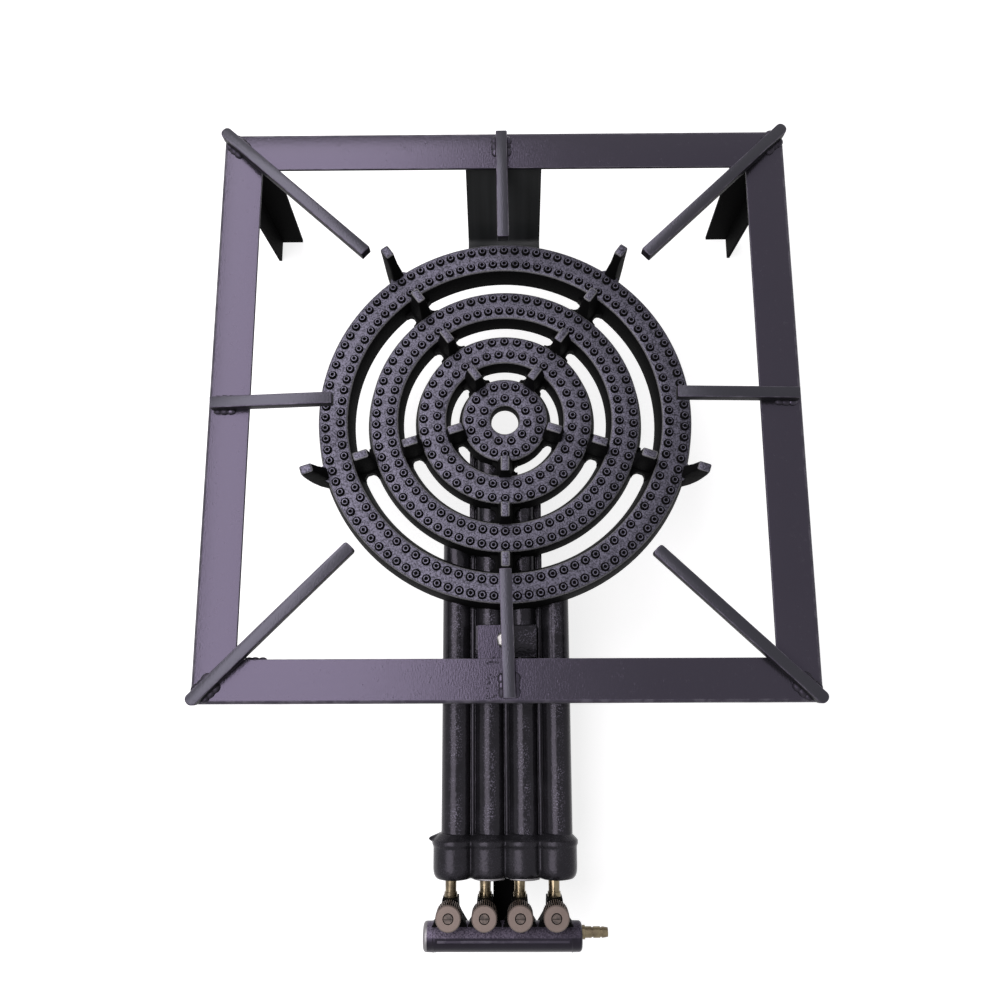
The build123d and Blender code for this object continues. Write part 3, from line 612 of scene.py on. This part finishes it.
def plate_along(bm, route, left, columns, thickness):
    """A strip of plate that follows a route in the YZ plane, bent round at its corners."""
    points = [bm.verts.new((left, y, z)) for y, z in route]
    rows = [bm.edges.new(pair) for pair in zip(points, points[1:])]
    for width in columns:
        made = bmesh.ops.extrude_edge_only(bm, edges=rows)
        rows = [part for part in made["geom"] if isinstance(part, bmesh.types.BMEdge)]
        rows = [e for e in rows if abs(e.verts[0].co.x - e.verts[1].co.x) < 0.001]
        ends = list({v for e in rows for v in e.verts})
        bmesh.ops.translate(bm, vec=(width, 0, 0), verts=ends)
    bmesh.ops.recalc_face_normals(bm, faces=bm.faces)
    folds = [e for e in bm.edges if len(e.link_faces) == 2 and e.calc_face_angle() > radians(20)]
    soften(bm, folds, plate_bend, 5)
    bmesh.ops.solidify(bm, geom=bm.faces, thickness=thickness)


def make_rear_hanger():
    """The wide bent plate at the back, with two shallow pressed lines."""
    bm = bmesh.new()
    seat = frame_top - rail_wall
    route = ((146.9, ring_floor), (182.9, ring_floor), (219, seat), (243, seat))
    edge, line, middle = 8, 2, 48
    plate_along(bm, route, -edge - line - middle / 2, (edge, line, middle, line, edge), plate_wall)
    pressed = [v for v in bm.verts if abs(v.co.x) < middle / 2 + 0.5]
    bmesh.ops.translate(bm, vec=(0, 0, -0.7), verts=pressed)
    finish_piece(bm, "rear_hanger_plate", (plate_paint,), ["rear_hanger"])


def make_front_bracket():
    """The narrow bent strip between the front rail and the casting's pad."""
    bm = bmesh.new()
    reach = 243
    span = reach - 170.4
    seat = frame_top - rail_wall - plate_wall
    leg = -reach + 0.33 * span - plate_wall
    route = ((-reach, seat), (leg, seat), (leg, pad_top), (leg + 0.52 * span, pad_top))
    plate_along(bm, route, -24.5, (30.5,), -plate_wall)
    soften(bm, corners(bm, 60), 0.4, 1)
    finish_piece(bm, "front_bracket_strip", (paint,), ["front_bracket"])


def make_ring(number):
    """One ring of the casting with its jets, lugs and horns."""
    ring = rings[number]
    deck = deck_height - ring.drop
    bm = bmesh.new()
    profile = (
        (ring.inner, 0, deck),
        (ring.outer, 0, deck),
        (ring.outer + wall_flare, 0, ring_floor),
        (ring.inner - ring.hole_flare, 0, ring_floor),
    )
    spun(bm, profile, (0, 0, 0), (0, 0, 1), 144, True)
    soften(bm, corners(bm, 40), 1.5, 3)
    if ring.rise:
        inside = rings[number + 1]
        for angle in spoke_angles:
            add_lug(bm, angle, inside.outer, ring.inner, deck_height + ring.rise)
    if number == 0:
        for angle in spoke_angles[1:]:
            add_horn(bm, angle, ring.outer)
    bmesh.ops.recalc_face_normals(bm, faces=bm.faces)
    top, edge, wall = 0, 1, 2
    for face in bm.faces:
        lift = face.normal.z if face.calc_center_median().z > deck - 2 else 0
        face.material_index = top if lift > 0.93 else edge if lift > 0.4 else wall
    for row in ring.rows:
        add_jets(bm, row, deck)
    materials = (deck_iron, edge_iron, wall_iron, soot_and_painted_shade)
    finish_piece(bm, f"ring_{ring.name}_casting", materials, [f"ring_{ring.name}"])


def add_fillet(bm, side, low, high):
    """A web of iron, alike on both sides of its spoke, that fills the corners beside a wall."""
    outline = side + [(along, -across) for along, across in reversed(side)]
    floor = bm.faces.new([bm.verts.new((along, across, low)) for along, across in outline])
    made = bmesh.ops.extrude_face_region(bm, geom=[floor])
    top = [part for part in made["geom"] if isinstance(part, bmesh.types.BMVert)]
    bmesh.ops.translate(bm, vec=(0, 0, high - low), verts=top)


def add_lug(bm, angle, inner, outer, top):
    """A tapered lug between two rings, flared at its foot."""
    known = set(bm.verts)
    middle = (inner + outer) / 2
    length, width = outer - inner + 4, 15
    neck_rise, neck_length, neck_width = 12, 0.9 * length, 0.82 * width
    waist_rise, waist_length, waist_width = 9, 16.5, 9.6
    top_rise, top_length, top_width = top - lug_floor - neck_rise - waist_rise, 13, 7.5
    place = Matrix.Translation((middle, 0, lug_floor)) @ Matrix.Diagonal((length, width, 1, 1))
    made = bmesh.ops.create_grid(bm, x_segments=1, y_segments=1, size=0.5, matrix=place)
    foot = made["verts"][0].link_faces[0]
    neck = raise_face(bm, foot, neck_rise, neck_length / length, neck_width / width, True)
    waist = raise_face(bm, neck, waist_rise, waist_length / neck_length, waist_width / neck_width)
    raise_face(bm, waist, top_rise, top_length / waist_length, top_width / waist_width)
    fresh = [v for v in bm.verts if v not in known]
    sides = {e for v in fresh for e in v.link_edges}
    bmesh.ops.recalc_face_normals(bm, faces=list({f for v in fresh for f in v.link_faces}))
    soften(bm, [e for e in sides if e.calc_face_angle() > radians(40)], 1.1, 2)
    near, far = inner + wall_flare, outer - wall_flare
    gap = far - near
    half_width = 8
    curve = [(-0.4, half_width + 0.5 * gap)]
    for share in (0, 0.05, 0.15, 0.3):
        curve.append((share, half_width + gap * (0.5 - sqrt(share - share ** 2))))
    spread = [(near + share * gap, across) for share, across in curve]
    spread += [(far - share * gap, across) for share, across in reversed(curve)]
    spread = [(sqrt(radius ** 2 - across ** 2), across) for radius, across in spread]
    add_fillet(bm, spread, ring_floor + 0.5, ring_floor + 9)
    turn(bm, [v for v in bm.verts if v not in known], angle)


def add_horn(bm, angle, wall):
    """A pot horn outside the ring that curves out and upwards."""
    known = set(bm.verts)
    outline = (
        (wall - 2, ring_floor), (wall - 2, deck_height), (wall + 2.2, 157), (wall + 6, horn_top),
        (wall + 16.5, horn_top), (wall + 16.6, 163), (wall + 15.6, 152), (wall + 13.5, 140),
        (wall + 9.6, 128), (wall + 3.4, ring_floor),
    )
    side = bm.faces.new([bm.verts.new((reach, -horn_half_width, height)) for reach, height in outline])
    made = bmesh.ops.extrude_face_region(bm, geom=[side])
    far = [part for part in made["geom"] if isinstance(part, bmesh.types.BMVert)]
    bmesh.ops.translate(bm, vec=(0, 2 * horn_half_width, 0), verts=far)
    fresh = [v for v in bm.verts if v not in known]
    waist = 160
    for vert in fresh:
        depth = max(0, (waist - vert.co.z) / (waist - ring_floor))
        vert.co.y *= 1 + 1.2 * depth ** 1.5
    bmesh.ops.recalc_face_normals(bm, faces=list({f for v in fresh for f in v.link_faces}))
    rims = {e for v in fresh for e in v.link_edges if e.calc_face_angle() > radians(50)}
    soften(bm, rims, 1.6, 3)
    spread = ((-3, 11), (0.5, 8), (2.5, 5.8), (5, 4.4), (8, horn_half_width))
    side = [(wall + along, across) for along, across in spread]
    add_fillet(bm, side, deck_height - 14, deck_height - 0.4)
    turn(bm, [v for v in bm.verts if v not in known], angle)


def add_jets(bm, row, deck):
    """A row of raised jets: one is made, drilled and spun round the ring."""
    known = set(bm.faces)
    spot = Vector((0, row.start * row.radius, deck + 1.1))
    made = bmesh.ops.create_cone(bm, cap_ends=True, cap_tris=False, segments=14, radius1=jet_foot_radius,
                                 radius2=jet_top_radius, depth=jet_depth, matrix=Matrix.Translation(spot))
    sides = {face for vert in made["verts"] for face in vert.link_faces}
    top = max(sides, key=lambda face: face.calc_center_median().z)
    bmesh.ops.inset_individual(bm, faces=[top], thickness=0.85, depth=0)
    bmesh.ops.inset_individual(bm, faces=[top], thickness=0.1, depth=-2)
    fresh = [face for face in bm.faces if face not in known]
    # The jets' sloping sides and holes take the near-black: partly soot, partly painted shade.
    deck_finish, soot_and_shade_finish = 0, 3
    for face in fresh:
        from_axis = max((vert.co.xy - spot.xy).length for vert in face.verts)
        level = face.calc_center_median().z
        on_top = from_axis > 1.8 and level > deck + 2.4
        face.material_index = deck_finish if on_top else soot_and_shade_finish
    verts = list({vert for face in fresh for vert in face.verts})
    edges = list({edge for face in fresh for edge in face.edges})
    bmesh.ops.spin(bm, geom=verts + edges + fresh, cent=(0, 0, 0), axis=(0, 0, 1),
                   angle=2 * pi * (row.count - 1) / row.count, steps=row.count - 1, use_duplicate=True)


def tube_end(tube):
    """Closed far end of a mixing tube, just past the ring that it feeds."""
    ring = rings[ring_of_tube[tube]]
    middle = (ring.inner + ring.outer) / 2
    return -sqrt(middle ** 2 - tube_xs[tube] ** 2) + 10


def make_tubes():
    """The four mixing tubes, with webs and raised ribs between them."""
    bm = bmesh.new()
    start = bell_back - 2
    for tube, x in enumerate(tube_xs):
        end = tube_end(tube)
        closed = end - 4
        skin = ((tube_bore, start), (tube_radius, start), (tube_radius, end), (0, end))
        bore = ((tube_bore, start), (tube_bore, closed), (0, closed))
        for run in (skin, bore):
            profile = [(x + reach, y, tube_height) for reach, y in run]
            spun(bm, profile, (x, 0, tube_height), (0, 1, 0), 40)
    web_reach = tube_radius - 1.5
    for left, right in ((0, 1), (1, 2), (2, 3)):
        far = max(tube_end(left), tube_end(right))
        middle = (tube_xs[left] + tube_xs[right]) / 2
        web_left, web_right = tube_xs[left] + web_reach, tube_xs[right] - web_reach
        box(bm, (web_left, start, tube_height - 2), (web_right, far, tube_height + 2))
        rib = box(bm, (middle - 1.6, start, tube_height), (middle + 1.6, far, tube_height + 5))
        crest = {e for v in rib for e in v.link_edges if all(w.co.z > tube_height + 4 for w in e.verts)}
        soften(bm, crest, 1.3, 3)
    solids = [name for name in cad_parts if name.startswith("mixing_tube_")]
    finish_piece(bm, "mixing_tubes_casting", (tube_paint,), solids)


def make_pads():
    """Flat pads of the casting, under the front bracket and over the manifold's strap."""
    bm = bmesh.new()
    box(bm, (-27, -212.2, tube_height), (27, -184, pad_top))
    soften(bm, bm.edges, 1.6, 3)
    box(bm, (-17, bell_back - 24, 87), (17, bell_back, tube_height - 10))
    finish_piece(bm, "casting_pads_flat", (tube_paint,), ["casting_pads"])


def make_bells():
    """The four air bells, cast in a row, their joins filled out smooth."""
    bm = bmesh.new()
    mouth, tail = bell_front + 1.5, bell_back + 9.5
    for x in tube_xs:
        profile = (
            (tube_bore, mouth + 20), (12.8, mouth + 0.3), (13.4, mouth), (14.8, mouth + 0.7),
            (16.2, mouth + 2.4), (17.1, mouth + 4.8), (17.5, mouth + 8.5), (17.5, bell_back - 1),
            (18.5, bell_back), (18.5, bell_back + 3.5), (tube_radius, tail), (tube_bore, tail),
        )
        outline = [(x + reach, y, tube_height) for reach, y in profile]
        spun(bm, outline, (x, 0, tube_height), (0, 1, 0), 48, True)
    fin = Matrix.Translation((tube_xs[0] - 17, bell_back + 4.5, tube_height))
    fin = fin @ Matrix.Rotation(-pi / 2, 4, "Y")
    bmesh.ops.create_cone(bm, cap_ends=True, segments=12, radius1=5, radius2=1.2, depth=9, matrix=fin)
    bmesh.ops.translate(bm, vec=(-1.6, 0, 0), verts=bm.verts)
    bells = finish_piece(bm, "air_bells_casting", (bell_paint,), [], smooth=180)
    melt = bells.modifiers.new("melt", "REMESH")
    melt.mode = "VOXEL"
    melt.voxel_size = 0.0009
    melt.use_smooth_shade = True
    ease = bells.modifiers.new("ease", "SMOOTH")
    ease.iterations = 6
    ease.factor = 0.5


def make_bell_rims():
    """Bare metal where the two middle bells have rubbed through their paint."""
    bm = bmesh.new()
    for x in tube_xs[1:3]:
        start = Matrix.Translation((x + 15.7, bell_front + 3, tube_height))
        ring = bmesh.ops.create_circle(bm, cap_ends=False, segments=8, radius=0.9, matrix=start)["verts"]
        centre = (x, 0, tube_height)
        bmesh.ops.rotate(bm, cent=centre, matrix=Matrix.Rotation(radians(-40), 3, "Y"), verts=ring)
        edges = list({e for v in ring for e in v.link_edges})
        bmesh.ops.spin(bm, geom=ring + edges, cent=centre, axis=(0, -1, 0), angle=radians(100), steps=24)
    finish_piece(bm, "bell_rims_rubbed", (bare_steel,), [], smooth=180)


def make_manifold():
    """The gas pipe with a raised strip along it in lighter paint, a painted reflection line, and its two
    plugs with a weld ridge where each meets the pipe.
    """
    bm = bmesh.new()
    axis_point = (0, manifold_y, tube_height)
    profile = (
        (pipe_left, 0), (pipe_left, pipe_radius), (pipe_left + 1, pipe_radius + 0.25),
        (pipe_left + 1.8, pipe_radius), (pipe_right - 0.8, pipe_radius),
        (pipe_right, pipe_radius), (pipe_right, 0),
    )
    spun(bm, [(x, manifold_y + r, tube_height) for x, r in profile], axis_point, (1, 0, 0), 64)
    known = set(bm.faces)
    # A raised strip in the lighter edge paint along the pipe's top: a painted reflection line.
    reflection_strip = box(bm, (pipe_left + 3, -1, pipe_radius - 0.6), (pipe_right - 2, 1, pipe_radius + 0.2))
    lean = Matrix.Translation(axis_point) @ Matrix.Rotation(radians(7), 4, "X")
    bmesh.ops.transform(bm, matrix=lean, verts=reflection_strip)
    for face in bm.faces:
        face.material_index = 0 if face in known else 1
    finish_piece(bm, "manifold_gas_pipe", (manifold_paint, paint_edge), ["manifold_pipe"])
    for name, end, way in (("left", pipe_left, -1), ("right", pipe_right, 1)):
        bm = bmesh.new()
        steps = (
            (0, 0), (0, pipe_radius), (0.6, pipe_radius + 0.45), (1.4, pipe_radius + 0.1),
            (5.6, pipe_radius), (7.4, pipe_radius), (9, pipe_radius - 2), (9, 0),
        )
        profile = [(end + way * along, manifold_y + r, tube_height) for along, r in steps]
        spun(bm, profile, axis_point, (1, 0, 0), 64)
        soften(bm, [e for e in corners(bm, 25) if abs(e.verts[0].co.x - end) > 5], 1, 3)
        for face in bm.faces:
            bare = name == "left" and abs(face.calc_center_median().x - end) > 5.9
            face.material_index = 1 if bare else 0
        materials = (manifold_paint, bare_steel)
        finish_piece(bm, f"manifold_plug_{name}", materials, [f"manifold_cap_{name}"])


def make_knob(number, x):
    """A knurled knob with a turned face and a recess round its screw."""
    bm = bmesh.new()
    low, high = 123.5, 143.5
    radius, recess, recess_floor = 10.5, 4.4, high - 1.6
    skin = (
        (recess, recess_floor), (recess, high), (9.4, high), (10.3, high - 0.9), (radius, high - 1.6),
        (radius, low + 1), (9.6, low), (7.9, low), (7.9, low + 6), (2.55, low + 6),
    )
    floor = ((recess, recess_floor), (1.55, recess_floor))
    knurls = 38
    steps = 3 * knurls
    for run in (skin, floor):
        spun(bm, [(x + reach, valve_y, z) for reach, z in run], (x, valve_y, 0), (0, 0, 1), steps)
    grooves = []
    for vert in bm.verts:
        reach = (vert.co.xy - Vector((x, valve_y))).length
        column = round(atan2(vert.co.y - valve_y, vert.co.x - x) / (2 * pi / steps))
        if reach > radius - 0.1 and column % 3 == 0:
            grooves.append(vert)
    bmesh.ops.scale(bm, vec=(0.93, 0.93, 1), space=Matrix.Translation((-x, -valve_y, 0)), verts=grooves)
    # The screw recess and the knurl grooves take the near-black: painted shade.
    for face in bm.faces:
        middle = face.calc_center_median()
        reach = (middle.xy - Vector((x, valve_y))).length
        in_recess = reach < recess + 0.1
        on_face = middle.z > high - 0.5 and not in_recess
        in_groove = any(vert in grooves for vert in face.verts)
        face.material_index = 0 if on_face else 2 if in_recess or in_groove else 1
    materials = (knob_metal, grip_metal, soot_and_painted_shade)
    body = f"tap_{number}"
    finish_piece(bm, f"knob_{number}_knurled", materials, [f"knob_{number}"], body, 25)


def make_bolts():
    """Hexagon bolts with chamfered heads, one in front and two under the back."""
    bm = bmesh.new()
    head_radius, head_height = 7.1, 5.5
    shank_radius, shank_length = 4, 15.6
    rear_x, rear_seat = 22, 111.4
    rear_y = sqrt(((rings[0].inner + rings[0].outer) / 2) ** 2 - rear_x ** 2)
    places = ((-1, -197.2, 128.6, 1), (-rear_x, rear_y, rear_seat, -1), (rear_x, rear_y, rear_seat, -1))
    for x, y, seat, way in places:
        middle = Matrix.Translation((x, y, seat + way * head_height / 2))
        middle = middle @ Matrix.Rotation(radians(12), 4, "Z")
        head = bmesh.ops.create_cone(bm, cap_ends=True, cap_tris=False, segments=6, radius1=head_radius,
                                     radius2=head_radius, depth=head_height, matrix=middle)["verts"]
        rims = {e for v in head for e in v.link_edges if all(way * (w.co.z - seat) > 5 for w in e.verts)}
        soften(bm, rims, 0.9, 1)
        shank = Matrix.Translation((x, y, seat - way * shank_length / 2))
        bmesh.ops.create_cone(bm, cap_ends=True, cap_tris=False, segments=24, radius1=shank_radius,
                              radius2=shank_radius, depth=shank_length, matrix=shank)
    finish_piece(bm, "burner_bolts_hexagon", (steel,), ["burner_bolts"])


for name, angle in (("right", 0), ("back", 90), ("left", 180), ("front", 270)):
    make_rail(name, angle)
for bar in bars:
    make_bar(bar)
# The legs take the near-black paint: painted shade.
for name in ("back_right", "back_left", "front_left", "front_right"):
    dress(f"leg_{name}", black_and_painted_shade)
make_welds()
make_rear_hanger()
make_front_bracket()
for number in range(4):
    make_ring(number)
make_tubes()
make_pads()
make_bells()
make_bell_rims()
make_manifold()
make_bolts()
for number, x in enumerate(tap_xs, start=1):
    make_knob(number, x)
    dress(f"valve_body_{number}", black_and_painted_shade)
    dress(f"injector_{number}", brass_metal)
    dress(f"spindle_{number}", brass_metal)
    dress(f"knob_screw_{number}", screw_metal)
dress("hose_barb", brass_metal)
dress("gland_nuts", brass_metal)
dress("burner_washers", plate_paint)
dress("bracket_bolts", steel)
dress("manifold_bracket", black_and_painted_shade)
dress("gland_packings", packing)


def seen_rays(nodes):
    """1 for rays from the camera and for reflections of the background."""
    path = nodes.tree.nodes.new("ShaderNodeLightPath")
    kinds = ("Is Camera Ray", "Is Glossy Ray", "Is Transmission Ray")
    camera, glossy, through = [Value(nodes, path.outputs[name]) for name in kinds]
    return camera.join("MAXIMUM", camera.join("MAXIMUM", camera, glossy), through)


def make_floor():
    """A plain pale floor that shows white and still takes the stove's shadow."""
    bm = bmesh.new()
    bmesh.ops.create_grid(bm, x_segments=1, y_segments=1, size=6)
    mesh = bpy.data.meshes.new("floor")
    bm.to_mesh(mesh)
    bm.free()
    material = bpy.data.materials.new("floor_white")
    material.use_nodes = True
    nodes = Nodes(material.node_tree)
    nodes.tree.nodes.clear()
    seen = seen_rays(nodes)
    plain = nodes.node("BsdfDiffuse", (), {"Color": tint(0.8, 0.8, 0.8)})
    glow = nodes.node("Emission", (), {"Color": tint(1, 1, 1), "Strength": 0.82})
    dim = nodes.node("BsdfDiffuse", (), {"Color": tint(0.5, 0.5, 0.5)})
    white = nodes.node("AddShader", (), {0: glow, 1: dim})
    shown = nodes.node("MixShader", (), {0: seen, 1: plain, 2: white})
    out = nodes.tree.nodes.new("ShaderNodeOutputMaterial")
    nodes.feed(out.inputs["Surface"], shown)
    mesh.materials.append(material)
    floor = bpy.data.objects.new("floor", mesh)
    bpy.context.scene.collection.objects.link(floor)


def make_world():
    """White to the camera and to reflections, and soft fill light otherwise."""
    world = bpy.data.worlds.new("studio")
    world.use_nodes = True
    bpy.context.scene.world = world
    nodes = Nodes(world.node_tree)
    nodes.tree.nodes.clear()
    fill = nodes.node("Background", (), {"Color": tint(1, 1, 1), "Strength": 0.1})
    white = nodes.node("Background", (), {"Color": tint(1, 1, 1), "Strength": 1.0})
    shown = nodes.node("MixShader", (), {0: seen_rays(nodes), 1: fill, 2: white})
    out = nodes.tree.nodes.new("ShaderNodeOutputWorld")
    nodes.feed(out.inputs["Surface"], shown)


def make_panel(name, middle, width, length, power, colour):
    """A large soft panel that hangs level and shines down."""
    data = bpy.data.lights.new(name, "AREA")
    data.shape = "RECTANGLE"
    data.size = width
    data.size_y = length
    data.energy = power
    data.color = colour
    panel = bpy.data.objects.new(name, data)
    panel.location = middle
    bpy.context.scene.collection.objects.link(panel)


def make_camera():
    """Camera above the front of the stove, turned as in the photograph."""
    data = bpy.data.cameras.new("camera")
    data.sensor_width = 36
    data.lens = 32.4
    camera = bpy.data.objects.new("camera", data)
    lift, roll, yaw = radians(78.409), radians(-2.049), radians(1.790)
    highlight_band = Vector((sin(yaw) * cos(lift), -cos(yaw) * cos(lift), sin(lift)))
    right = (-highlight_band).cross(Vector((0, 0, 1))).normalized()
    up = right.cross(-highlight_band)
    across = right * cos(roll) + up * sin(roll)
    upwards = up * cos(roll) - right * sin(roll)
    turned = Matrix((across, upwards, highlight_band)).transposed().to_4x4()
    eye = (0.00037, to_metres * (stand_y - 235.3), 0.9154)
    camera.matrix_world = Matrix.Translation(eye) @ turned
    bpy.context.scene.collection.objects.link(camera)
    bpy.context.scene.camera = camera


make_floor()
make_world()
make_panel("left_panel", (-0.57, 0.325, 1.3), 0.96, 2.15, 33, (1.0, 0.96, 1.0))
make_camera()
bpy.context.scene.view_settings.view_transform = "Standard"
